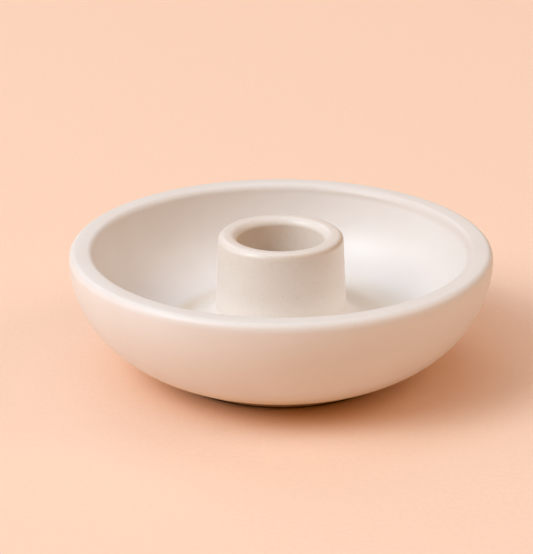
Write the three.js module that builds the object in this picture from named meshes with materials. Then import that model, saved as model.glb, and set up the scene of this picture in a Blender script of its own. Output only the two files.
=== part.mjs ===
// Taper candle holder in stoneware: a wide dish with a rolled rim, a candle cup luted to the middle
// of its floor, the fillet of clay that closes that joint, and a bare clay ring foot underneath.
// Millimetres, +Z up. The origin is on the table, under the middle of the dish.
// Every piece is turned on the wheel, so each is a half section (radius, height) swept round Z.
import * as THREE from "three";

// Candle and its socket
const candleDiameter = 22;
const candleClearance = 0.4;      // between the candle and the socket under its mouth, each side
const socketDepth = 22;
const socketTaper = 0.3;          // how much narrower the socket is at its floor, each side
const socketFloorRound = 1.5;     // hollow round between the socket's wall and its floor
const socketLipReach = 2.1;       // rounding of the socket's mouth: its width on the cup's top
const socketLipDepth = 2.2;       // and its depth down the socket

// Candle cup
const cupWall = 4.85;             // from the socket to the outside, at the top
const cupSpread = 1.3;            // how much wider the cup is at its foot than at its top, each side
const cupEdgeRound = 1.7;         // rounding of the cup's outer top edge
const cupFloor = 3.5;             // clay under the candle
const cupLetIn = 0.8;             // depth of the seat turned for the cup in the dish's floor

// Luting fillet round the cup, which runs out to the edge of the flat floor
const filletRise = 5.2;           // up the cup, from the dish's floor
const filletLean = 22;            // degrees between the fillet's top and the upright

// Dish
const dishRadius = 55;            // at its widest, just under the rim
const rimHeight = 33.1;           // top of the rim above the table
const rimShoulder = 1.8;          // width of the rim's outer rounding
const rimShoulderDrop = 2.2;      // height of that outer rounding
const rimFlat = 2.85;             // flat top of the rim
const lipReach = 1.9;             // width of the rim's inner rounding
const lipDrop = 2.1;              // height of that inner rounding
const floorHeight = 11.3;         // inside floor above the table
const floorRadius = 26.8;         // flat part of the inside floor
const innerWallLean = 11;         // degrees between the inside wall under the lip and the upright
const innerWallDrop = 13;         // how far the inside wall stays steep
const innerWallSweep = 14.2;      // how far the inside floor stays low on its way out
const outerWallDrop = 14.6;       // how far the outside wall stays steep under the rim
const outerWallSweep = 12.45;     // how far the outside stays low on its way out from the foot
const bellyRise = 13.5;           // degrees at which the outside leaves the foot
const baseDish = 1;               // how much the middle of the underside is hollowed, inside the foot

// Ring foot
const footRadius = 30.4;
const footWidth = 5.4;
const footHeight = 2.2;           // below the dish
const footLetIn = 0.8;            // depth of the groove for the ring in the dish's underside
const footEdgeReach = 1;          // easing of the ring's edges: its width on the table
const footEdgeRise = 0.6;         // and its height
const footLand = 0.6;             // flat of the dish left outside the ring

// Clay joints: side gap that the slip fills, each side
const slipGap = 0.3;

// Facets
const facetsRound = 60;
const wallFacets = 10;
const roundFacets = 4;
const filletFacets = 6;

// Sizes that follow from those above
const socketRadius = candleDiameter / 2 + candleClearance;
const socketFloorRadius = socketRadius - socketTaper;
const cupTopRadius = socketRadius + cupWall;
const cupFootRadius = cupTopRadius + cupSpread;
const cupSeatHeight = floorHeight - cupLetIn;
const socketFloorHeight = cupSeatHeight + cupFloor;
const cupTopHeight = socketFloorHeight + socketDepth;
const cupSeatRadius = cupFootRadius + slipGap;
const footInnerRadius = footRadius - footWidth;
const footSeatHeight = footHeight + footLetIn;

const glaze = { color: 0xe9e1d8, roughness: 0.42, metalness: 0 };
const bareClay = { color: 0xc9a98a, roughness: 0.9, metalness: 0 };

function at(radius, height) {
  return new THREE.Vector2(radius, height);
}

// The point a given distance from another, at an angle in degrees from the outward direction.
function away(point, distance, degrees) {
  const angle = THREE.MathUtils.degToRad(degrees);
  return at(point.x + distance * Math.cos(angle), point.y + distance * Math.sin(angle));
}

// A rounding: part of an ellipse about its centre, between two angles in degrees from the outward direction.
function rounding(centre, reach, rise, from, to) {
  const start = THREE.MathUtils.degToRad(from);
  const end = THREE.MathUtils.degToRad(to);
  return new THREE.EllipseCurve(centre.x, centre.y, reach, rise, start, end, to < from).getPoints(roundFacets);
}

function bend(from, leaveTowards, arriveFrom, to) {
  return new THREE.CubicBezierCurve(from, leaveTowards, arriveFrom, to).getPoints(wallFacets);
}

// One piece: points and sampled curves joined into a half section and swept round the upright axis.
function turned(name, finish, ...stretches) {
  const section = [];
  for (const point of stretches.flat()) {
    if (section.length === 0 || !section.at(-1).equals(point)) section.push(point);
  }
  const geometry = new THREE.LatheGeometry(section, facetsRound);
  geometry.rotateX(Math.PI / 2);
  const mesh = new THREE.Mesh(geometry, new THREE.MeshStandardMaterial(finish));
  mesh.name = name;
  return mesh;
}

// Outside of the cup, which leans in towards the top.
function cupRadiusAt(height) {
  const up = (height - cupSeatHeight) / (cupTopHeight - cupSeatHeight);
  return cupFootRadius - cupSpread * up;
}

// The dish: underside with the foot's groove, belly, rolled rim, inside wall, floor and the cup's seat.
function makeDish() {
  const bellyStart = at(footRadius + footLand, footHeight);
  const widest = at(dishRadius, rimHeight - rimShoulderDrop);
  const rimEdge = dishRadius - rimShoulder;
  const lip = at(rimEdge - rimFlat, rimHeight - lipDrop);
  const wallTop = at(lip.x - lipReach, lip.y);
  const floorEdge = at(floorRadius, floorHeight);
  const hollowEdge = footInnerRadius - slipGap;
  return turned(
    "dish",
    glaze,
    rounding(at(0, footHeight), hollowEdge, baseDish, 90, 0),
    at(hollowEdge, footSeatHeight),
    at(footRadius + slipGap, footSeatHeight),
    at(footRadius + slipGap, footHeight),
    bend(
      bellyStart,
      away(bellyStart, outerWallSweep, bellyRise),
      away(widest, outerWallDrop, -90),
      widest,
    ),
    rounding(at(rimEdge, widest.y), rimShoulder, rimShoulderDrop, 0, 90),
    rounding(lip, lipReach, lipDrop, 90, 180),
    bend(
      wallTop,
      away(wallTop, innerWallDrop, -90 - innerWallLean),
      away(floorEdge, innerWallSweep, 0),
      floorEdge,
    ),
    at(cupSeatRadius, floorHeight),
    at(cupSeatRadius, cupSeatHeight),
    at(0, cupSeatHeight),
  );
}

// The candle cup: flat foot in its seat, leaning wall, rounded top and the slightly tapered blind socket.
function makeCandleCup() {
  const edgeHeight = cupTopHeight - cupEdgeRound;
  const mouth = at(socketRadius + socketLipReach, cupTopHeight - socketLipDepth);
  const socketFillet = at(socketFloorRadius - socketFloorRound, socketFloorHeight + socketFloorRound);
  return turned(
    "candle_cup",
    glaze,
    at(0, cupSeatHeight),
    at(cupFootRadius, cupSeatHeight),
    rounding(at(cupRadiusAt(edgeHeight) - cupEdgeRound, edgeHeight), cupEdgeRound, cupEdgeRound, 0, 90),
    rounding(mouth, socketLipReach, socketLipDepth, 90, 180),
    rounding(socketFillet, socketFloorRound, socketFloorRound, 0, -90),
    at(0, socketFloorHeight),
  );
}

// The luting fillet: clay pressed into the corner between cup and dish, hollow on its outside.
function makeLutingFillet() {
  const topHeight = floorHeight + filletRise;
  const top = at(cupRadiusAt(topHeight) + slipGap, topHeight);
  const toe = at(floorRadius, floorHeight);
  const lean = THREE.MathUtils.degToRad(filletLean);
  const corner = at(top.x + filletRise * Math.tan(lean), floorHeight);
  return turned(
    "luting_fillet",
    glaze,
    at(cupSeatRadius, floorHeight),
    toe,
    new THREE.QuadraticBezierCurve(toe, corner, top).getPoints(filletFacets),
    at(cupSeatRadius, floorHeight),
  );
}

// The ring foot: square top in the dish's groove, eased edges where it stands on the table.
function makeFootRing() {
  const outer = at(footRadius - footEdgeReach, footEdgeRise);
  const inner = at(footInnerRadius + footEdgeReach, footEdgeRise);
  return turned(
    "foot_ring",
    bareClay,
    at(footInnerRadius, footSeatHeight),
    rounding(inner, footEdgeReach, footEdgeRise, 180, 270),
    rounding(outer, footEdgeReach, footEdgeRise, 270, 360),
    at(footRadius, footSeatHeight),
    at(footInnerRadius, footSeatHeight),
  );
}

const candleHolder = new THREE.Group();
candleHolder.name = "taper_candle_holder";
candleHolder.add(makeDish(), makeCandleCup(), makeLutingFillet(), makeFootRing());

export default candleHolder;
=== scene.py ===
# %% [markdown]
# # A stoneware taper candle holder
# A wide, low dish stands on a bare clay ring foot. A short cup for one taper candle is luted to the
# middle of its floor, and a fillet of clay closes that joint. Everything but the foot is covered by
# a satin off-white glaze. The solids of the four pieces are loaded first, as a fixed frame, and
# each one is then modelled again as a fine turned surface in the same place, in metres.

# %% load the frame
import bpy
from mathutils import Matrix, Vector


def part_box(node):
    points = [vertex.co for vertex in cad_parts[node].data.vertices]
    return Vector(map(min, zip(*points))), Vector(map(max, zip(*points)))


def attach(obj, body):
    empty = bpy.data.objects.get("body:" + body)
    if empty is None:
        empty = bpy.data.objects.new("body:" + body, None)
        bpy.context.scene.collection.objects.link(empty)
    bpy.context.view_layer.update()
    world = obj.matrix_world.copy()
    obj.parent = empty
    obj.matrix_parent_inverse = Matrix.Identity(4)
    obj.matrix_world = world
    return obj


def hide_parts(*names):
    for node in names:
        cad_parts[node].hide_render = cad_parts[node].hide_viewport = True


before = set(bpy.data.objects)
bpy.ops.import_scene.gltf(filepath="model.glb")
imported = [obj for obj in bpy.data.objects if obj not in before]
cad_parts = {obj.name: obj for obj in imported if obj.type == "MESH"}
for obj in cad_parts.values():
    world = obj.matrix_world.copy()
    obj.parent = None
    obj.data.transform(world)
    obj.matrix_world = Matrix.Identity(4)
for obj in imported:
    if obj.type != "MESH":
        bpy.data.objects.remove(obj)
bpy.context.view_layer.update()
print("pieces in the frame:", sorted(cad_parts))

# %% [markdown]
# ## Sizes
# The solids settle how wide and high each piece is and where it sits. Those sizes could be typed in
# again, but then the two could disagree, so they are read from the frame. What a box can't tell,
# such as how the rim is rounded, is written in millimetres where it is used.

# %% sizes from the frame
import math

import bpy
from mathutils import Matrix, Vector

MM = 0.001


def reach_and_levels(node):
    """The outer radius, the lowest and the highest level of a turned piece, in millimetres."""
    low_thin_and_bounce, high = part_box(node)
    return high.x / MM, low_thin_and_bounce.z / MM, high.z / MM


dish_radius, dish_underside, rim_height = reach_and_levels("dish")
cup_foot_radius, cup_seat, cup_top = reach_and_levels("candle_cup")
trough_radius, floor_height, fillet_top = reach_and_levels("luting_fillet")
foot_radius, table_height, foot_seat = reach_and_levels("foot_ring")
print(f"dish {2 * dish_radius:.1f} across and {rim_height:.1f} high, cup {cup_top:.1f} high")

# %% [markdown]
# ## Camera
# One looks at the holder from a little above, as at a thing on a table. A camera can be moved by
# hand until the outlines agree. Here its distance, tilt and lens were worked out from the outlines
# of the rim, cup and foot. The holder sits slightly right of and below the middle of the picture. A
# small turn of the camera gives that, so the lens needs no shift.

# %% camera
LONG_SIDE = 554               # pixels, the longer side of the picture
FOCAL_PIXELS = 1896.1         # focal length in those pixels
SENSOR = 36.0                 # millimetres
AIM_HEIGHT = 15.0             # millimetres above the table
CAMERA_DISTANCE = 500.0       # millimetres
CAMERA_ELEVATION = math.radians(22.28)
CAMERA_PAN = math.radians(0.434)
CAMERA_TILT = math.radians(0.948)
CAMERA_ROLL = math.radians(0.04)

bpy.ops.object.select_all(action="DESELECT")
bpy.ops.object.camera_add()
camera = bpy.context.object
camera.name = "camera"
camera.data.sensor_width = SENSOR
camera.data.lens = FOCAL_PIXELS / LONG_SIDE * SENSOR
back = Vector((0, -math.cos(CAMERA_ELEVATION), math.sin(CAMERA_ELEVATION)))
turn = Matrix.Rotation(math.pi / 2 - CAMERA_ELEVATION, 4, "X")
turn @= Matrix.Rotation(CAMERA_PAN, 4, "Y")
turn @= Matrix.Rotation(CAMERA_TILT, 4, "X")
turn @= Matrix.Rotation(CAMERA_ROLL, 4, "Z")
place = Vector((0, 0, AIM_HEIGHT * MM)) + back * CAMERA_DISTANCE * MM
camera.matrix_world = Matrix.Translation(place) @ turn
bpy.context.scene.camera = camera
bpy.context.scene.view_settings.view_transform = "Standard"
print(f"lens {camera.data.lens:.1f} mm at {CAMERA_DISTANCE:.0f} mm")

# %% [markdown]
# ## Curves of a half section
# A thing made on the wheel is a half section turned about an upright axis. Its points could be put
# down by eye in edit mode, but a few sizes say more. Roundings are parts of ellipses, and long
# walls are single Bezier curves, as a draughtsman would draw them. These helpers return points of
# (radius, height) in millimetres.

# %% curves
ROUND_STEPS = 10
WALL_STEPS = 36


def rounding(centre, reach, rise, start, end):
    """Points along part of an ellipse, between angles in degrees from the outward direction."""
    points = []
    for step in range(ROUND_STEPS + 1):
        angle = math.radians(start + (end - start) * step / ROUND_STEPS)
        points.append((centre[0] + reach * math.cos(angle), centre[1] + rise * math.sin(angle)))
    return points


def wall(start, leave, arrive, end):
    """Points along a cubic Bezier curve: it leaves towards one handle, arrives from the other."""
    corners = (start, leave, arrive, end)
    points = []
    for step in range(WALL_STEPS + 1):
        t = step / WALL_STEPS
        weights = ((1 - t) ** 3, 3 * t * (1 - t) ** 2, 3 * t * t * (1 - t), t ** 3)
        points.append(tuple(sum(w * c[i] for w, c in zip(weights, corners)) for i in (0, 1)))
    return points


def away(point, distance, degrees):
    """The point that far from another, at an angle in degrees from the outward direction."""
    angle = math.radians(degrees)
    return point[0] + distance * math.cos(angle), point[1] + distance * math.sin(angle)


# %% [markdown]
# ## Turning a piece
# By hand, one would draw the half section by extruding a single vertex from point to point, and
# then spin the chain of edges once round. The Screw modifier would do as well, but Spin leaves a
# plain mesh at once. After it the doubles on the axis and at the seam are merged and the normals
# recalculated, because Spin can leave a shape inside out.

# %% turn on the wheel
TURN_STEPS = 256
SAME_POINT = 1e-4             # millimetres; closer points of a half section are one
DOUBLES = 1e-7                # metres
SHARP = math.radians(40)


def turned(name, points):
    """A closed piece: a half section in millimetres, drawn by extruding and spun round Z."""
    chain = [points[0]]
    for point in points[1:]:
        if math.dist(point, chain[-1]) > SAME_POINT:
            chain.append(point)
    bpy.ops.object.select_all(action="DESELECT")
    bpy.ops.mesh.primitive_plane_add(size=MM)
    piece = bpy.context.object
    piece.name = piece.data.name = name
    bpy.ops.object.mode_set(mode="EDIT")
    bpy.ops.mesh.select_all(action="SELECT")
    bpy.ops.mesh.merge(type="CENTER")
    bpy.ops.transform.translate(value=(chain[0][0] * MM, 0, chain[0][1] * MM))
    for here, there in zip(chain, chain[1:]):
        step = ((there[0] - here[0]) * MM, 0, (there[1] - here[1]) * MM)
        bpy.ops.mesh.extrude_region_move(TRANSFORM_OT_translate={"value": step})
    bpy.ops.mesh.select_all(action="SELECT")
    bpy.ops.mesh.spin(steps=TURN_STEPS, angle=math.tau, center=(0, 0, 0), axis=(0, 0, 1))
    bpy.ops.mesh.select_all(action="SELECT")
    bpy.ops.mesh.remove_doubles(threshold=DOUBLES)
    bpy.ops.mesh.normals_make_consistent(inside=False)
    bpy.ops.object.mode_set(mode="OBJECT")
    bpy.ops.object.shade_smooth_by_angle(angle=SHARP)
    print(f"{name}: {len(chain)} points in the half section, {len(piece.data.polygons)} faces")
    return piece


# %% [markdown]
# ## The dish
# The dish is thick and soft in outline: a belly that leaves the foot almost flat and rises upright,
# a rim with a flat top between two roundings, and an inside wall that leans in under the lip and
# sweeps down to the floor. A cylinder with insets and bevels could come near it, but its walls
# would be straight between the cuts, so the whole section is turned at once. The floor is dropped
# slightly under the fillet, so that the two meet flush, as they do under one coat of glaze.

# %% dish
RIM_SHOULDER = 1.8            # width of the rim's outer rounding
RIM_SHOULDER_DROP = 2.2       # and its height
RIM_FLAT = 2.85
LIP_REACH = 1.9               # width of the rim's inner rounding
LIP_DROP = 2.1                # and its height
INNER_WALL_LEAN = 11.0        # degrees from the upright, under the lip
INNER_WALL_DROP = 13.0        # how far the inside wall stays steep
INNER_WALL_SWEEP = 14.2       # how far the floor stays low on its way out
OUTER_WALL_DROP = 14.6        # how far the outside stays steep under the rim
OUTER_WALL_SWEEP = 12.45      # how far it stays low on its way out from the foot
BELLY_RISE = 13.5             # degrees at which it leaves the foot
FOOT_WIDTH = 5.4
FOOT_LAND = 0.6               # flat of the dish left outside the foot
BASE_DISH = 1.0               # hollow of the underside, inside the foot
FILLET_BED = 0.4              # how far the floor drops under the fillet
DOWN = -90.0                  # degrees

foot_inner = foot_radius - FOOT_WIDTH
belly_start = (foot_radius + FOOT_LAND, dish_underside)
widest = (dish_radius, rim_height - RIM_SHOULDER_DROP)
rim_edge = dish_radius - RIM_SHOULDER
lip_centre = (rim_edge - RIM_FLAT, rim_height - LIP_DROP)
wall_top = (lip_centre[0] - LIP_REACH, lip_centre[1])
trough = (trough_radius, floor_height)
dish = turned("dish_ware", [
    *rounding((0, dish_underside), foot_inner, BASE_DISH, 90, 0),
    (foot_inner, foot_seat),
    (foot_radius, foot_seat),
    (foot_radius, dish_underside),
    *wall(belly_start, away(belly_start, OUTER_WALL_SWEEP, BELLY_RISE),
          away(widest, OUTER_WALL_DROP, DOWN), widest),
    *rounding((rim_edge, widest[1]), RIM_SHOULDER, RIM_SHOULDER_DROP, 0, 90),
    *rounding(lip_centre, LIP_REACH, LIP_DROP, 90, 180),
    *wall(wall_top, away(wall_top, INNER_WALL_DROP, DOWN - INNER_WALL_LEAN),
          away(trough, INNER_WALL_SWEEP, 0), trough),
    (trough_radius, floor_height - FILLET_BED),
    (cup_foot_radius, floor_height - FILLET_BED),
    (cup_foot_radius, cup_seat),
    (0, cup_seat),
])

# %% [markdown]
# ## The candle cup
# The cup leans in slightly towards its flat top. Its outer edge is softly rounded, and the mouth of
# the socket is rounded more, so that a candle finds its way in. Below that the socket narrows a
# little, so that the candle wedges itself upright. A cone with a Boolean hole and a bevel would do,
# but turning gives cup, socket and roundings in one clean mesh.

# %% candle cup
SOCKET_RADIUS = 11.4          # under the rounded mouth
SOCKET_TAPER = 0.3            # how much narrower its floor is, each side
SOCKET_DEPTH = 22.0
SOCKET_FLOOR_ROUND = 1.5
SOCKET_LIP_REACH = 2.1        # width of the rounding at the mouth
SOCKET_LIP_DEPTH = 2.2        # and its depth
CUP_SPREAD = 1.3              # how much wider the cup is at its foot, each side
CUP_EDGE_ROUND = 1.7


def cup_radius(height):
    """The cup's outside at a height: widest at its foot, narrowest at its top."""
    return cup_foot_radius - CUP_SPREAD * (height - cup_seat) / (cup_top - cup_seat)


cup_edge = cup_top - CUP_EDGE_ROUND
cup_edge_centre = (cup_radius(cup_edge) - CUP_EDGE_ROUND, cup_edge)
socket_mouth = (SOCKET_RADIUS + SOCKET_LIP_REACH, cup_top - SOCKET_LIP_DEPTH)
socket_floor = cup_top - SOCKET_DEPTH
socket_corner = (SOCKET_RADIUS - SOCKET_TAPER - SOCKET_FLOOR_ROUND,
                 socket_floor + SOCKET_FLOOR_ROUND)
candle_cup = turned("candle_cup_ware", [
    (0, cup_seat),
    (cup_foot_radius, cup_seat),
    *rounding(cup_edge_centre, CUP_EDGE_ROUND, CUP_EDGE_ROUND, 0, 90),
    *rounding(socket_mouth, SOCKET_LIP_REACH, SOCKET_LIP_DEPTH, 90, 180),
    *rounding(socket_corner, SOCKET_FLOOR_ROUND, SOCKET_FLOOR_ROUND, 0, -90),
    (0, socket_floor),
])

# %% [markdown]
# ## The luting fillet
# Where the cup meets the floor, a roll of clay was pressed in and smoothed with a finger. It starts
# on the cup with a small kink, curves out and runs flat into the trough of the floor. Bevelling
# the corner would fuse cup and dish into one, so the fillet is a ring of its own on the floor.

# %% luting fillet
FILLET_LEAN = 22.0            # degrees between its top and the upright
FILLET_FLAT = 0.3             # width of its flat edge in the trough
HANDLE_SHARE = 2 / 3          # places both handles so that one corner shapes the curve

fillet_rise = fillet_top - floor_height
fillet_start = (cup_radius(fillet_top), fillet_top)
fillet_corner = (fillet_start[0] + fillet_rise * math.tan(math.radians(FILLET_LEAN)), floor_height)
fillet_end = (trough_radius - FILLET_FLAT, floor_height)


def between(a, b, share):
    """The point that lies a share of the way from one point to another."""
    return tuple(p + (q - p) * share for p, q in zip(a, b))


fillet_heel = (cup_radius(floor_height - FILLET_BED), floor_height - FILLET_BED)
luting_fillet = turned("luting_fillet_ware", [
    fillet_heel,
    (trough_radius, floor_height - FILLET_BED),
    (trough_radius, floor_height),
    *wall(fillet_end, between(fillet_end, fillet_corner, HANDLE_SHARE),
          between(fillet_start, fillet_corner, HANDLE_SHARE), fillet_start),
    fillet_heel,
])

# %% [markdown]
# ## The ring foot
# The foot is bare clay, ground flat where it stands. Its edges are eased a little, so that they
# don't chip, and that leaves a dark crevice under the holder. Painted shade on the standing edge,
# in the bare clay, darkens that line further. A tube with bevelled edges would look the same. It is
# turned like the rest, because its groove in the dish has the same sizes.

# %% foot ring
FOOT_EDGE_REACH = 1.0         # width of the eased edges on the table
FOOT_EDGE_RISE = 0.6          # and their height

foot_edge_level = table_height + FOOT_EDGE_RISE
foot_ring = turned("foot_ring_ware", [
    (foot_inner, foot_seat),
    *rounding((foot_inner + FOOT_EDGE_REACH, foot_edge_level),
              FOOT_EDGE_REACH, FOOT_EDGE_RISE, 180, 270),
    *rounding((foot_radius - FOOT_EDGE_REACH, foot_edge_level),
              FOOT_EDGE_REACH, FOOT_EDGE_RISE, 270, 360),
    (foot_radius, foot_seat),
    (foot_inner, foot_seat),
])

# %% [markdown]
# ## Nodes for the finishes
# Glaze and clay share a few effects: specks of iron, rings where glaze gathers or thins and where
# shade and light are painted, cloudy tone and a fine skin. They could be painted, but a painted
# picture has a size and a seam. Nodes have neither, so each effect is a node group, built once and
# placed in the materials with its own values. They read Object coordinates, because the pieces sit
# unmoved at the origin. First come helpers that add and link single nodes.

# %% node helpers
MIX_BELOW, MIX_ABOVE, MIX_RESULT = 6, 7, 2      # the sockets of a Mix node that hold colours


def add_node(tree, kind, values=None, **settings):
    """A node with its settings and the plain values of its inputs."""
    made = tree.nodes.new(kind)
    for name, value in settings.items():
        setattr(made, name, value)
    for name, value in (values or {}).items():
        made.inputs[name].default_value = value
    return made


def calculate(tree, operation, a, b):
    """A Math node on two inputs, each a socket or a number."""
    made = add_node(tree, "ShaderNodeMath", operation=operation)
    for socket, value in zip(made.inputs, (a, b)):
        if isinstance(value, (int, float)):
            socket.default_value = value
        else:
            tree.links.new(value, socket)
    return made.outputs[0]


def blend(tree, share, below, above):
    """A colour mixed from two, each a socket or a plain colour, by a share that varies."""
    made = add_node(tree, "ShaderNodeMix", data_type="RGBA")
    tree.links.new(share, made.inputs["Factor"])
    for socket, value in ((made.inputs[MIX_BELOW], below), (made.inputs[MIX_ABOVE], above)):
        if isinstance(value, tuple):
            socket.default_value = (*value, 1)
        else:
            tree.links.new(value, socket)
    return made.outputs[MIX_RESULT]


def ramp(tree, value, start, end):
    """A value taken smoothly from 0 at the start to 1 at the end, which are sockets or numbers."""
    made = add_node(tree, "ShaderNodeMapRange", interpolation_type="SMOOTHSTEP")
    for name, number in (("Value", value), ("From Min", start), ("From Max", end)):
        if isinstance(number, (int, float)):
            made.inputs[name].default_value = number
        else:
            tree.links.new(number, made.inputs[name])
    return made.outputs["Result"]


def length_of(tree, a, b):
    """The length of a slope with the sides a and b."""
    a_squared = calculate(tree, "MULTIPLY", a, a)
    b_squared = calculate(tree, "MULTIPLY", b, b)
    return calculate(tree, "SQRT", calculate(tree, "ADD", a_squared, b_squared), 0.0)


def place_in_millimetres(tree):
    """The point being shaded, in millimetres."""
    where = tree.nodes.new("ShaderNodeTexCoord")
    scaled = add_node(tree, "ShaderNodeVectorMath", {"Scale": 1 / MM}, operation="SCALE")
    tree.links.new(where.outputs["Object"], scaled.inputs[0])
    return scaled.outputs[0]


# %% [markdown]
# ### Groups
# A node group needs sockets for what it is given and what it puts out, and a node at either end.
# In a material it is one node, with its own values. The same nodes could be copied into every
# material, but then each change would have to be made in all of them.

# %% group helpers


def new_group(name, inputs, outputs):
    """An empty shader node group of plain values, with its two end nodes."""
    group = bpy.data.node_groups.new(name, "ShaderNodeTree")
    sockets = group.interface
    for label, value in inputs.items():
        socket = sockets.new_socket(name=label, in_out="INPUT", socket_type="NodeSocketFloat")
        socket.default_value = value
    for label in outputs:
        sockets.new_socket(name=label, in_out="OUTPUT", socket_type="NodeSocketFloat")
    return group, group.nodes.new("NodeGroupInput"), group.nodes.new("NodeGroupOutput")


def place_group(tree, group, **values):
    """A group's node in a material, with its own values."""
    made = add_node(tree, "ShaderNodeGroup", node_tree=group)
    for name, value in values.items():
        made.inputs[name].default_value = value
    return made


# %% [markdown]
# ### Place in the half section
# What glaze does on a turned piece depends on how far a point is from the axis and how high it
# lies. Vertex colours could hold that, but only as finely as the mesh. Two lengths worked out from
# the coordinates are exact everywhere.

# %% half section group


def make_half_section_group():
    """A point's distance from the axis and its height, in millimetres."""
    group, _, result = new_group("half_section", {}, ["Radius", "Height"])
    parts = group.nodes.new("ShaderNodeSeparateXYZ")
    group.links.new(place_in_millimetres(group), parts.inputs[0])
    radius = length_of(group, parts.outputs["X"], parts.outputs["Y"])
    group.links.new(radius, result.inputs["Radius"])
    group.links.new(parts.outputs["Z"], result.inputs["Height"])
    return group


half_section = make_half_section_group()
print("group:", half_section.name)

# %% [markdown]
# ### Rings
# Glaze gathers or thins along circles: in the trough, over an edge, at the foot. Painted shade and
# light are laid along such circles too. A ring is where a point lies close to such a circle, in a
# round or flattened patch of the half section. Each could be a material of its own on a band of
# faces, but such a band ends sharply and glaze doesn't.

# %% ring group


def make_ring_group():
    """A mask that is 1 on a circle round the axis and fades out with the distance from it."""
    sizes = {"Radius": 10.0, "Height": 0.0, "Reach": 1.0, "Rise": 1.0}
    group, given, result = new_group("ring", sizes, ["Mask"])
    here = place_group(group, half_section)
    across = calculate(group, "SUBTRACT", here.outputs["Radius"], given.outputs["Radius"])
    up = calculate(group, "SUBTRACT", here.outputs["Height"], given.outputs["Height"])
    distance = length_of(group, calculate(group, "DIVIDE", across, given.outputs["Reach"]),
                         calculate(group, "DIVIDE", up, given.outputs["Rise"]))
    group.links.new(ramp(group, distance, 1.0, 0.0), result.inputs["Mask"])
    return group


ring = make_ring_group()
print("group:", ring.name)

# %% [markdown]
# ### Specks
# Stoneware clay holds grains of iron that bleed through the glaze as fine brown specks. Noise cut
# off at a threshold gives blots of any shape. A Voronoi pattern suits grains better: it gives one
# point to each cell, only a share of the cells shows a speck, and each speck has its own size.

# %% speck group
SMALLEST_SPECK = 0.3          # added to each cell's own share of the size
SPECK_CORE = 0.3              # share of a speck's radius that is fully dark


def make_speck_group():
    """A mask of round specks: their spacing and size in millimetres, and the share that shows."""
    sizes = {"Spacing": 1.5, "Size": 0.4, "Share": 0.5}
    group, given, result = new_group("iron_specks", sizes, ["Mask"])
    spacing, size, share = (given.outputs[name] for name in sizes)
    cells = add_node(group, "ShaderNodeTexVoronoi", {"Scale": 1.0})
    finer = add_node(group, "ShaderNodeVectorMath", operation="SCALE")
    group.links.new(place_in_millimetres(group), finer.inputs[0])
    group.links.new(calculate(group, "DIVIDE", 1.0, spacing), finer.inputs["Scale"])
    group.links.new(finer.outputs[0], cells.inputs["Vector"])
    chance = group.nodes.new("ShaderNodeSeparateColor")
    group.links.new(cells.outputs["Color"], chance.inputs[0])
    own_size = calculate(group, "ADD", chance.outputs["Green"], SMALLEST_SPECK)
    radius = calculate(group, "MULTIPLY", size, own_size)
    distance = calculate(group, "MULTIPLY", cells.outputs["Distance"], spacing)
    dot = ramp(group, distance, radius, calculate(group, "MULTIPLY", radius, SPECK_CORE))
    shown = calculate(group, "LESS_THAN", chance.outputs["Red"], share)
    group.links.new(calculate(group, "MULTIPLY", dot, shown), result.inputs["Mask"])
    return group


specks = make_speck_group()
print("group:", specks.name)

# %% [markdown]
# ### Clouds and skin
# A glaze is never quite even. Slow noise lets its tone drift over centimetres. Finer noise gives
# the skin that breaks up a satin reflection, and varies the roughness a little. It is far too
# shallow to change the outline, so it is a bump and not geometry.

# %% cloud and skin groups
CLOUD_NOISE = {"Detail": 3.0, "Roughness": 0.55}
CLOUD_SPAN = (0.3, 0.7)       # where the noise starts and ends to count
SKIN_NOISE = {"Detail": 4.0, "Roughness": 0.6}
NOISE_MIDDLE = 0.5


def noise_of_size(group, settings, size):
    """A noise in millimetres, with features of about that size."""
    noise = add_node(group, "ShaderNodeTexNoise", settings)
    group.links.new(place_in_millimetres(group), noise.inputs["Vector"])
    group.links.new(calculate(group, "DIVIDE", 1.0, size), noise.inputs["Scale"])
    return noise.outputs["Fac"]


def make_cloud_group():
    """A mask that drifts slowly between 0 and 1."""
    group, given, result = new_group("glaze_clouds", {"Size": 20.0}, ["Mask"])
    noise = noise_of_size(group, CLOUD_NOISE, given.outputs["Size"])
    group.links.new(ramp(group, noise, *CLOUD_SPAN), result.inputs["Mask"])
    return group


def make_skin_group():
    """A fine height for a bump, and a roughness that varies with it."""
    values = {"Grain": 1.0, "Roughness": 0.4, "Variation": 0.1}
    group, given, result = new_group("fired_skin", values, ["Height", "Roughness"])
    noise = noise_of_size(group, SKIN_NOISE, given.outputs["Grain"])
    group.links.new(noise, result.inputs["Height"])
    offset = calculate(group, "SUBTRACT", noise, NOISE_MIDDLE)
    drift = calculate(group, "MULTIPLY", offset, given.outputs["Variation"])
    roughness = calculate(group, "ADD", given.outputs["Roughness"], drift)
    group.links.new(roughness, result.inputs["Roughness"])
    return group


clouds = make_cloud_group()
skin = make_skin_group()
print("groups:", clouds.name, skin.name)

# %% [markdown]
# ## The finishes
# One recipe of glaze was poured over dish, cup and fillet. Every finish starts alike: a tone that
# drifts between two colours, and a fine skin that breaks up the gloss. Other tones are then laid
# over it one by one, each where a mask shows it. Some are the glaze's and the clay's own, as a
# glazer would lay them, and some are painted shade and painted light.

# %% start of a finish
SPECK_COLOUR = (0.36, 0.22, 0.12)


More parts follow.
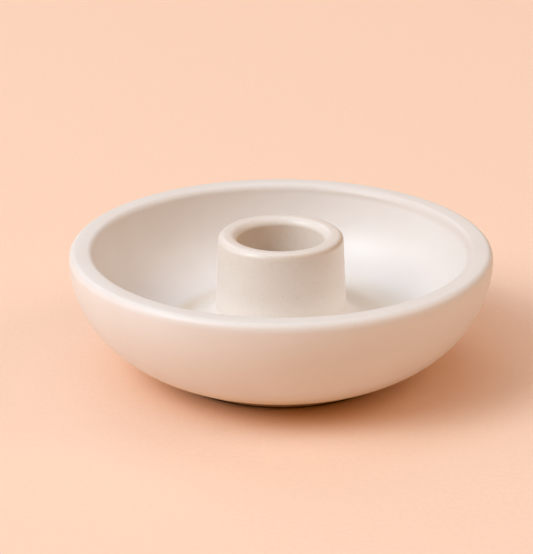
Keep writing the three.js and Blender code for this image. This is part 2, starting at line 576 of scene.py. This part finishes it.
def start_finish(name, skin_values, skin_depth, drift_size, tones):
    """A material with drifting tone and a skin; returns its parts and the colour so far."""
    material = bpy.data.materials.new(name)
    material.use_nodes = True
    tree = material.node_tree
    shader = tree.nodes["Principled BSDF"]
    surface = place_group(tree, skin, **skin_values)
    tree.links.new(surface.outputs["Roughness"], shader.inputs["Roughness"])
    bump = add_node(tree, "ShaderNodeBump", {"Distance": skin_depth * MM})
    tree.links.new(surface.outputs["Height"], bump.inputs["Height"])
    tree.links.new(bump.outputs["Normal"], shader.inputs["Normal"])
    drift = place_group(tree, clouds, Size=drift_size)
    return material, tree, shader, blend(tree, drift.outputs["Mask"], *tones)


def tint(tree, colour, mask, strength, tone):
    """The colour with another tone over it, where a mask shows it, that strongly."""
    return blend(tree, calculate(tree, "MULTIPLY", mask, strength), colour, tone)


def tint_ring(tree, colour, circle, strength, tone):
    """The colour with a ring of another tone over it."""
    mask = place_group(tree, ring, **circle).outputs["Mask"]
    return tint(tree, colour, mask, strength, tone)


def tint_specks(tree, colour, grains, strength):
    """The colour with specks of iron over it."""
    mask = place_group(tree, specks, **grains).outputs["Mask"]
    return tint(tree, colour, mask, strength, SPECK_COLOUR)


def towards(tree, direction, start, end):
    """A share that grows from 0 to 1 along a level direction, between two distances in mm."""
    along = add_node(tree, "ShaderNodeVectorMath", {1: (*direction, 0.0)}, operation="DOT_PRODUCT")
    tree.links.new(place_in_millimetres(tree), along.inputs[0])
    return ramp(tree, along.outputs["Value"], start, end)


# %% [markdown]
# ### Glaze and painted shade in the trough
# Molten glaze runs down and gathers in the trough round the cup, thicker and darker there. Three
# rings of tone lie over the trough: a warmer painted shade towards the right, where the cup keeps
# the light off, a browner ring at the left that is partly gathered glaze and partly painted shade,
# and the cup's painted shadow, darkest close behind the cup at the right and faint all round. They
# could be painted on by hand, but three rings that overlap can be moved and tinted at any time.
# Dish and fillet share the trough, so both take them from one function. A side is a level
# direction, and the distances along it where its share starts and where it is full.

# %% trough
# Painted shade: a warmer, darker tone in the trough right of the cup, out of the light.
WARM_SHADE_TONE = (0.80, 0.72, 0.62)
WARM_SHADE_SIDE = ((1.0, 0.0), 8.0, 26.0)
WARM_SHADE_STRENGTH = 0.8
# Partly glaze gathered in the trough, partly painted shade there, strongest at the left.
POOLED_AND_SHADE_TONE = (0.72, 0.60, 0.48)
POOLED_AND_SHADE_SIDE = ((-0.9, -0.45), -2.0, 24.0)
POOLED_AND_SHADE_LEAST = 0.4
# Painted shadow of the cup, darkest behind it at the right, and faint all round the trough.
DEEP_SHADOW_TONE = (0.66, 0.56, 0.455)
DEEP_SHADOW_SIDE = ((0.8, 0.6), 4.0, 22.0)
DEEP_SHADOW_NEAR_CUP = ((-1.0, 0.0), -27.0, -17.0)
DEEP_SHADOW_LEAST = 0.1

warm_shade_ring = {"Radius": trough_radius + 3.0, "Height": floor_height, "Reach": 12.0, "Rise": 5.0}
pooled_and_shade_ring = {"Radius": trough_radius, "Height": floor_height, "Reach": 4.0, "Rise": 3.0}
deep_shadow_ring = {"Radius": trough_radius - 1.0, "Height": floor_height, "Reach": 8.0, "Rise": 5.0}


def tint_trough(tree, colour):
    """The colour with gathered glaze, painted shade and the cup's painted shadow round the cup."""
    # painted shade in the trough at the right
    warm_shade = calculate(tree, "MULTIPLY", towards(tree, *WARM_SHADE_SIDE), WARM_SHADE_STRENGTH)
    colour = tint_ring(tree, colour, warm_shade_ring, warm_shade, WARM_SHADE_TONE)
    # gathered glaze and painted shade, browner at the left
    pooled_and_shade = calculate(tree, "MAXIMUM", towards(tree, *POOLED_AND_SHADE_SIDE), POOLED_AND_SHADE_LEAST)
    colour = tint_ring(tree, colour, pooled_and_shade_ring, pooled_and_shade, POOLED_AND_SHADE_TONE)
    # the cup's painted shadow, behind it at the right
    cup_shadow_behind = calculate(tree, "MULTIPLY",
                           towards(tree, *DEEP_SHADOW_SIDE), towards(tree, *DEEP_SHADOW_NEAR_CUP))
    deep_shadow = calculate(tree, "MAXIMUM", cup_shadow_behind, DEEP_SHADOW_LEAST)
    return tint_ring(tree, colour, deep_shadow_ring, deep_shadow, DEEP_SHADOW_TONE)


print(f"trough {trough_radius:.1f} mm from the axis, {floor_height:.1f} mm above the table")

# %% [markdown]
# ### Glaze on the dish
# On the dish the glaze lies thick and nearly white. Over the lip a darker, warmer ring is laid,
# most
# at the right: partly glaze broken thin, so that the clay warms it, and partly painted shade under
# the lip. Low on the belly, towards the foot, a warm tone is laid that is partly thinner glaze and
# partly painted warm light thrown up from the floor. Texture Paint could brush both in, but a ring
# and a ramp by height follow the turned shape exactly.

# %% dish glaze
DISH_TONES = ((0.797, 0.74, 0.709), (0.777, 0.715, 0.675))
DISH_DRIFT = 18.0
GLAZE_SKIN = {"Grain": 1.6, "Roughness": 0.42, "Variation": 0.12}
GLAZE_SKIN_DEPTH = 0.012
# Partly glaze broken thin over the lip, partly painted shade under the lip, most at the right.
LIP_BREAK_AND_SHADE_TONE = (0.68, 0.58, 0.52)
LIP_BREAK_AND_SHADE_SIDE = ((0.9, 0.43), 10.0, 42.0)
LIP_BREAK_AND_SHADE_STRENGTH = 0.65
# Partly thinner glaze, partly painted warm light thrown up from the floor onto the low belly.
THIN_GLAZE_AND_BOUNCE_TONE = (0.89, 0.71, 0.43)
THIN_GLAZE_AND_BOUNCE_HEIGHTS = (11.2, 3.0)    # where the glaze starts to thin, and where it is thinnest
THIN_GLAZE_AND_BOUNCE_STRENGTH = 0.9
DISH_SPECKS = {"Spacing": 3.4, "Size": 0.24, "Share": 0.2}
DISH_SPECK_STRENGTH = 0.35

lip_ring = {"Radius": lip_centre[0] - 1.2, "Height": lip_centre[1] + 1.0, "Reach": 2.2, "Rise": 2.4}

dish_glaze, tree, shader, colour = start_finish(
    "dish_glaze", GLAZE_SKIN, GLAZE_SKIN_DEPTH, DISH_DRIFT, DISH_TONES)
colour = tint_trough(tree, colour)
# broken glaze and painted shade at the lip
break_and_shade = calculate(tree, "MULTIPLY", towards(tree, *LIP_BREAK_AND_SHADE_SIDE), LIP_BREAK_AND_SHADE_STRENGTH)
colour = tint_ring(tree, colour, lip_ring, break_and_shade, LIP_BREAK_AND_SHADE_TONE)
# thinner glaze and painted warm light from the floor, low on the belly
low_thin_and_bounce = ramp(tree, place_group(tree, half_section).outputs["Height"], *THIN_GLAZE_AND_BOUNCE_HEIGHTS)
colour = tint(tree, colour, low_thin_and_bounce, THIN_GLAZE_AND_BOUNCE_STRENGTH, THIN_GLAZE_AND_BOUNCE_TONE)
colour = tint_specks(tree, colour, DISH_SPECKS, DISH_SPECK_STRENGTH)
print("on the dish:", len(tree.nodes), "nodes so far")

# %% [markdown]
# ### The wiped band
# Glaze would stick to the kiln's shelf, so the potter wipes it off round the foot. A sponge leaves
# a wavering edge. A ring alone would end in a perfect circle, so cloudy noise is taken from it
# before it is cut off.

# %% wiped band
CLAY_TONES = ((0.58, 0.40, 0.26), (0.46, 0.31, 0.20))
WAVER_SIZE = 6.0
WAVER = 0.15
WIPED_SPAN = (0.25, 0.4)
WIPED_STRENGTH = 0.9

foot_middle = (foot_radius + foot_inner) / 2
wiped_ring = {"Radius": foot_middle, "Height": dish_underside, "Reach": 8.0, "Rise": 1.4}

wavering = place_group(tree, clouds, Size=WAVER_SIZE).outputs["Mask"]
wiped = place_group(tree, ring, **wiped_ring).outputs["Mask"]
wiped_edge = calculate(tree, "SUBTRACT", wiped, calculate(tree, "MULTIPLY", wavering, WAVER))
bare = ramp(tree, wiped_edge, *WIPED_SPAN)
colour = tint(tree, colour, bare, WIPED_STRENGTH, CLAY_TONES[0])
tree.links.new(colour, shader.inputs["Base Color"])
print("finish:", dish_glaze.name, "with", len(tree.nodes), "nodes")

# %% [markdown]
# ### Glaze on the cup and its fillet
# The cup took the glaze thinner, so it is creamier. Low on the cup a whiter ring is painted light,
# and the flat top is painted greyer as shade. Cup and fillet could have a material each, but they
# were glazed in one go. One finish for both lets the ring of painted light run across their joint.

# %% cup glaze
CUP_TONES = ((0.838, 0.766, 0.706), (0.818, 0.736, 0.669))
CUP_DRIFT = 12.0
CUP_SKIN = {"Grain": 1.2, "Roughness": 0.34, "Variation": 0.1}
CUP_SKIN_DEPTH = 0.006
# Painted light: the lower cup and the fillet made lighter, as light thrown up from below.
CUP_FOOT_LIGHT_TONE = (0.89, 0.825, 0.76)
CUP_FOOT_LIGHT_STRENGTH = 1.0
# Painted shade: the flat top made greyer, as less light falls on it from above.
CUP_TOP_SHADE_TONE = (0.74, 0.66, 0.62)
CUP_TOP_SHADE_STRENGTH = 0.5

cup_top_heights = (cup_top - 1.4, cup_top - 0.2)
cup_foot_light_ring = {"Radius": cup_radius(fillet_top), "Height": fillet_top + 1.5,
                 "Reach": 3.0, "Rise": 8.0}

cup_glaze, tree, shader, colour = start_finish(
    "cup_glaze", CUP_SKIN, CUP_SKIN_DEPTH, CUP_DRIFT, CUP_TONES)
# painted light low on the cup
colour = tint_ring(tree, colour, cup_foot_light_ring, CUP_FOOT_LIGHT_STRENGTH, CUP_FOOT_LIGHT_TONE)
colour = tint_trough(tree, colour)
here = place_group(tree, half_section)
# painted shade on the flat top
shaded_top = ramp(tree, here.outputs["Height"], *cup_top_heights)
colour = tint(tree, colour, shaded_top, CUP_TOP_SHADE_STRENGTH, CUP_TOP_SHADE_TONE)
print("on the cup:", len(tree.nodes), "nodes so far")

# %% [markdown]
# ### Socket, edge and specks of the cup
# Inside the socket a browner tone is laid, most at the left: partly thin glaze over the clay and
# partly painted shade on the wall that faces away from the light. Over the outer edge the glaze
# runs off, most at the right, and a brown line lies there: partly the clay showing through and
# partly painted shade on the side away from the light. Specks show through the thin glaze, many
# fine ones and a few coarse ones. The socket's faces could be given a material of their own, but
# the glaze fades into it. So it is a mask, told from the cup's outside by its radius and from the
# rounded mouth by its depth.

# %% socket, edge and specks of the cup
# Partly thin glaze over the clay, partly painted shade on the socket's left wall.
SOCKET_CLAY_AND_SHADE_TONE = (0.68, 0.55, 0.44)
SOCKET_SHADED_SIDE = ((-1.0, 0.0), -16.0, 10.0)
SOCKET_RADII = (SOCKET_RADIUS + 1.0, SOCKET_RADIUS + 0.3)
# Partly glaze broken over the cup's edge, partly painted shade on its side away from the light.
EDGE_BREAK_AND_SHADE_TONE = (0.60, 0.45, 0.33)
EDGE_BREAK_AND_SHADE_SIDE = ((0.85, -0.4), -4.0, 14.0)
EDGE_BREAK_AND_SHADE_STRENGTH = 0.6
FINE_SPECKS = {"Spacing": 0.6, "Size": 0.18, "Share": 0.8}
FINE_SPECK_STRENGTH = 0.22
COARSE_SPECKS = {"Spacing": 2.0, "Size": 0.22, "Share": 0.3}
COARSE_SPECK_STRENGTH = 0.3

mouth_heights = (cup_top - 1.2, cup_top - SOCKET_LIP_DEPTH)
cup_edge_ring = {"Radius": cup_radius(cup_top) - 0.2, "Height": cup_top - 0.7,
                 "Reach": 1.0, "Rise": 1.0}

below_mouth = ramp(tree, here.outputs["Height"], *mouth_heights)
within = ramp(tree, here.outputs["Radius"], *SOCKET_RADII)
in_socket = calculate(tree, "MULTIPLY", within, below_mouth)
# thin glaze and painted shade in the socket, most at the left
colour = tint(tree, colour, in_socket, towards(tree, *SOCKET_SHADED_SIDE), SOCKET_CLAY_AND_SHADE_TONE)
# broken glaze and painted shade on the cup's outer edge, most at the right
break_and_shade = calculate(tree, "MULTIPLY", towards(tree, *EDGE_BREAK_AND_SHADE_SIDE), EDGE_BREAK_AND_SHADE_STRENGTH)
colour = tint_ring(tree, colour, cup_edge_ring, break_and_shade, EDGE_BREAK_AND_SHADE_TONE)
colour = tint_specks(tree, colour, FINE_SPECKS, FINE_SPECK_STRENGTH)
colour = tint_specks(tree, colour, COARSE_SPECKS, COARSE_SPECK_STRENGTH)
tree.links.new(colour, shader.inputs["Base Color"])
print("finish:", cup_glaze.name, "with", len(tree.nodes), "nodes")

# %% [markdown]
# ### Bare clay
# The ring foot is fired clay without glaze: brown, dry and grainy, and a little darker in patches.
# Its standing edge is painted nearly black, as painted shade where the foot meets the table. That
# painted shade is a ring cut off sharply, because the ground face beside it stays brown.

# %% bare clay
CLAY_DRIFT = 5.0
CLAY_SKIN = {"Grain": 0.5, "Roughness": 0.85, "Variation": 0.2}
CLAY_SKIN_DEPTH = 0.08
# Painted shade: the standing edge made nearly black, where the foot meets the table.
CONTACT_SHADE_TONE = (0.05, 0.03, 0.02)
CONTACT_SHADE_SPAN = (0.3, 0.55)
CONTACT_SHADE_STRENGTH = 0.9
CLAY_SPECKS = {"Spacing": 0.9, "Size": 0.3, "Share": 0.4}
CLAY_SPECK_STRENGTH = 0.6

standing_ring = {"Radius": foot_radius, "Height": table_height, "Reach": 2.0, "Rise": 1.3}

bare_clay, tree, shader, colour = start_finish(
    "bare_clay", CLAY_SKIN, CLAY_SKIN_DEPTH, CLAY_DRIFT, CLAY_TONES)
standing_edge = place_group(tree, ring, **standing_ring).outputs["Mask"]
# painted shade on the standing edge
contact_shade = ramp(tree, standing_edge, *CONTACT_SHADE_SPAN)
colour = tint(tree, colour, contact_shade, CONTACT_SHADE_STRENGTH, CONTACT_SHADE_TONE)
colour = tint_specks(tree, colour, CLAY_SPECKS, CLAY_SPECK_STRENGTH)
tree.links.new(colour, shader.inputs["Base Color"])
print("finish:", bare_clay.name, "with", len(tree.nodes), "nodes")

# %% [markdown]
# ## Dressing the pieces
# Each piece is covered by one finish, so one material slot is enough: a material that is appended
# to a mesh without slots covers all its faces. Faces would only be assigned where finishes meet.

# %% dress the pieces
for piece, finish in (
    (dish, dish_glaze),
    (candle_cup, cup_glaze),
    (luting_fillet, cup_glaze),
    (foot_ring, bare_clay),
):
    piece.data.materials.append(finish)
    print(f"{piece.name} wears {finish.name}")

# %% [markdown]
# ## Floor
# The holder stands on plain, pale peach paper. A curved backdrop isn't needed, because the camera
# looks down and sees only the floor, so one large plane will do. Its finish starts like the
# others, with two tones that hardly differ and a fine, dry skin.

# %% floor
FLOOR_SIZE = 6.0
PAPER_TONES = ((0.925, 0.635, 0.478), (0.90, 0.615, 0.461))
PAPER_DRIFT = 1.2
PAPER_SKIN = {"Grain": 0.8, "Roughness": 0.9, "Variation": 0.1}
PAPER_SKIN_DEPTH = 0.04

bpy.ops.object.select_all(action="DESELECT")
bpy.ops.mesh.primitive_plane_add(size=FLOOR_SIZE)
floor = bpy.context.object
floor.name = "floor"
paper, tree, shader, colour = start_finish(
    "floor_paper", PAPER_SKIN, PAPER_SKIN_DEPTH, PAPER_DRIFT, PAPER_TONES)
tree.links.new(colour, shader.inputs["Base Color"])
floor.data.materials.append(paper)
print(f"floor {FLOOR_SIZE:.0f} m wide")

# %% [markdown]
# ## Light
# Soft light comes mostly from the upper left, and a weak warm light comes back from all round. The
# world's colour stands for that warm light, and square area lamps for softboxes. A panorama on the
# world could give both, but lamps can be moved one by one. A lamp's power says little about how
# bright a surface gets, so each is given as a level: how much light it throws on a surface that
# faces it, where 1 shows a colour about as it is written. Its width is the angle that it fills,
# seen from the holder, which sets how soft its shadow is. The places were chosen by trial. The
# levels and the world's colour were then fitted to the shading in the photograph by least squares,
# in a separate script, which is why they aren't round numbers.

# %% lights
LAMP_DISTANCE = 5.0
WORLD_COLOUR = (0.315, 0.132, 0.0)

world = bpy.data.worlds.new("studio")
bpy.context.scene.world = world
world.use_nodes = True
world.node_tree.nodes["Background"].inputs["Color"].default_value = (*WORLD_COLOUR, 1)
world.node_tree.nodes["Background"].inputs["Strength"].default_value = 1.0


def softbox(name, azimuth, elevation, spread, level):
    """A lamp that faces the holder: degrees left of the camera, up and wide, and its level."""
    a, e = math.radians(azimuth), math.radians(elevation)
    direction = Vector((-math.sin(a) * math.cos(e), -math.cos(a) * math.cos(e), math.sin(e)))
    bpy.ops.object.light_add(type="AREA", location=direction * LAMP_DISTANCE)
    lamp = bpy.context.object
    lamp.name = name
    lamp.data.size = 2 * LAMP_DISTANCE * math.tan(math.radians(spread) / 2)
    brightest = max(level)
    lamp.data.energy = brightest * (math.pi * LAMP_DISTANCE) ** 2
    lamp.data.color = [share / brightest for share in level]
    lamp.rotation_euler = direction.to_track_quat("Z", "Y").to_euler()


softbox("front_left_softbox", 60, 40, 26, (0.384, 0.401, 0.405))
softbox("left_softbox", 75, 50, 28, (0.188, 0.252, 0.305))
softbox("high_left_softbox", 45, 64, 34, (0.097, 0.167, 0.226))
softbox("low_left_softbox", 90, 14, 30, (0.146, 0.162, 0.170))
softbox("back_left_softbox", 150, 38, 34, (0.099, 0.117, 0.135))
softbox("high_back_softbox", 180, 64, 34, (0.075, 0.103, 0.130))
softbox("high_front_softbox", 315, 64, 34, (0.099, 0.115, 0.127))
softbox("right_softbox", 270, 38, 34, (0.209, 0.199, 0.184))

# %% [markdown]
# ## Handing over
# The holder is one rigid body, so every piece rides on its root. Each piece takes the place of the
# solid that it was modelled after, and that solid is hidden.

# %% hand over
for piece, node, slot in (
    (dish, "dish", "satin_glaze"),
    (candle_cup, "candle_cup", "satin_glaze"),
    (luting_fillet, "luting_fillet", "satin_glaze"),
    (foot_ring, "foot_ring", "bare_clay"),
):
    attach(piece, "root")
    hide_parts(node)
